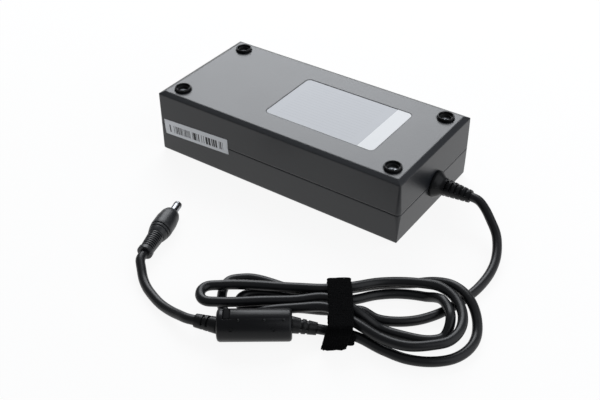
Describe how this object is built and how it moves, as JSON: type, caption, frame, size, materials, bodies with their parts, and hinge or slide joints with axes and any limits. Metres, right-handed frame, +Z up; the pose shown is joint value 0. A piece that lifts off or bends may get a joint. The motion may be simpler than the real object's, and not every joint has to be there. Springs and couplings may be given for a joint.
{
  "type": "laptop power adapter",
  "caption": "Flat black power adapter in a two-part case, with a three-blade mains inlet, and an output cord tied in a hank with a noise filter and a barrel plug.",
  "frame": {"origin": "middle of the flat face that the case rests on", "axes": "+X along the case towards the output cord, +Y across it away from the cord's hank, +Z up out of the face with the feet and the label"},
  "size_m": [0.2432, 0.2013, 0.0436],
  "materials": {
    "case_plastic": "fine texture",
    "foot_rubber": "matte",
    "screw_steel": "zinc plated",
    "label_film": "satin film",
    "strip_film": "satin film",
    "sticker_paper": "smooth paper label",
    "inlet_plastic": "moulded",
    "blade_brass": "plain",
    "board": "solder mask",
    "board_film": "plain",
    "ceramic": "glazed",
    "yellow_case": "smooth",
    "ferrite": "sintered",
    "copper_wire": "enamelled",
    "chip_plastic": "moulded",
    "can_sleeve": "shrunk sleeve",
    "sink_aluminium": "plain",
    "winding_tape": "film tape",
    "opto_plastic": "moulded",
    "blue_disc": "dipped",
    "wire_cover": "smooth",
    "relief_plastic": "moulded",
    "cord_cover": "satin",
    "tie_fabric": "hook and loop",
    "filter_plastic": "moulded",
    "grip_plastic": "moulded",
    "barrel_metal": "nickel plated",
    "contact_metal": "plain",
    "insulator_plastic": "moulded"
  },
  "bodies": {
    "root": {"case_bottom": "case_plastic", "case_top": "case_plastic", "foot_front_left": "foot_rubber", "foot_front_right": "foot_rubber", "foot_back_left": "foot_rubber", "foot_back_right": "foot_rubber", "case_screws": "screw_steel", "label_sheet": "label_film", "label_strip": "strip_film", "barcode_sticker": "sticker_paper", "inlet_housing": "inlet_plastic", "inlet_blade_line": "blade_brass", "inlet_blade_neutral": "blade_brass", "inlet_blade_earth": "blade_brass", "circuit_board": "board", "insulation_sheet": "board_film", "mains_fuse": "ceramic", "mains_capacitor": "yellow_case", "choke_core": "ferrite", "choke_windings": "copper_wire", "bridge_rectifier": "chip_plastic", "reservoir_capacitor": "can_sleeve", "switching_transistor": "chip_plastic", "primary_heat_sink": "sink_aluminium", "transformer_core": "ferrite", "transformer_winding": "winding_tape", "output_diode": "chip_plastic", "secondary_heat_sink": "sink_aluminium", "output_capacitor_a": "can_sleeve", "output_capacitor_b": "can_sleeve", "output_inductor": "copper_wire", "controller_chip": "chip_plastic", "optocoupler": "opto_plastic", "safety_capacitor": "blue_disc", "output_wires": "wire_cover", "strain_relief": "relief_plastic", "cord_lead": "cord_cover", "cord_hank": "cord_cover", "cord_tie": "tie_fabric", "filter_relief_right": "relief_plastic", "filter_cover": "filter_plastic", "filter_core": "ferrite", "cord_in_filter": "cord_cover", "filter_relief_left": "relief_plastic", "cord_end": "cord_cover", "plug_sleeve": "relief_plastic", "plug_grip": "grip_plastic", "plug_barrel": "barrel_metal", "plug_insulator": "insulator_plastic", "plug_contact": "contact_metal"}
  },
  "joints": []
}
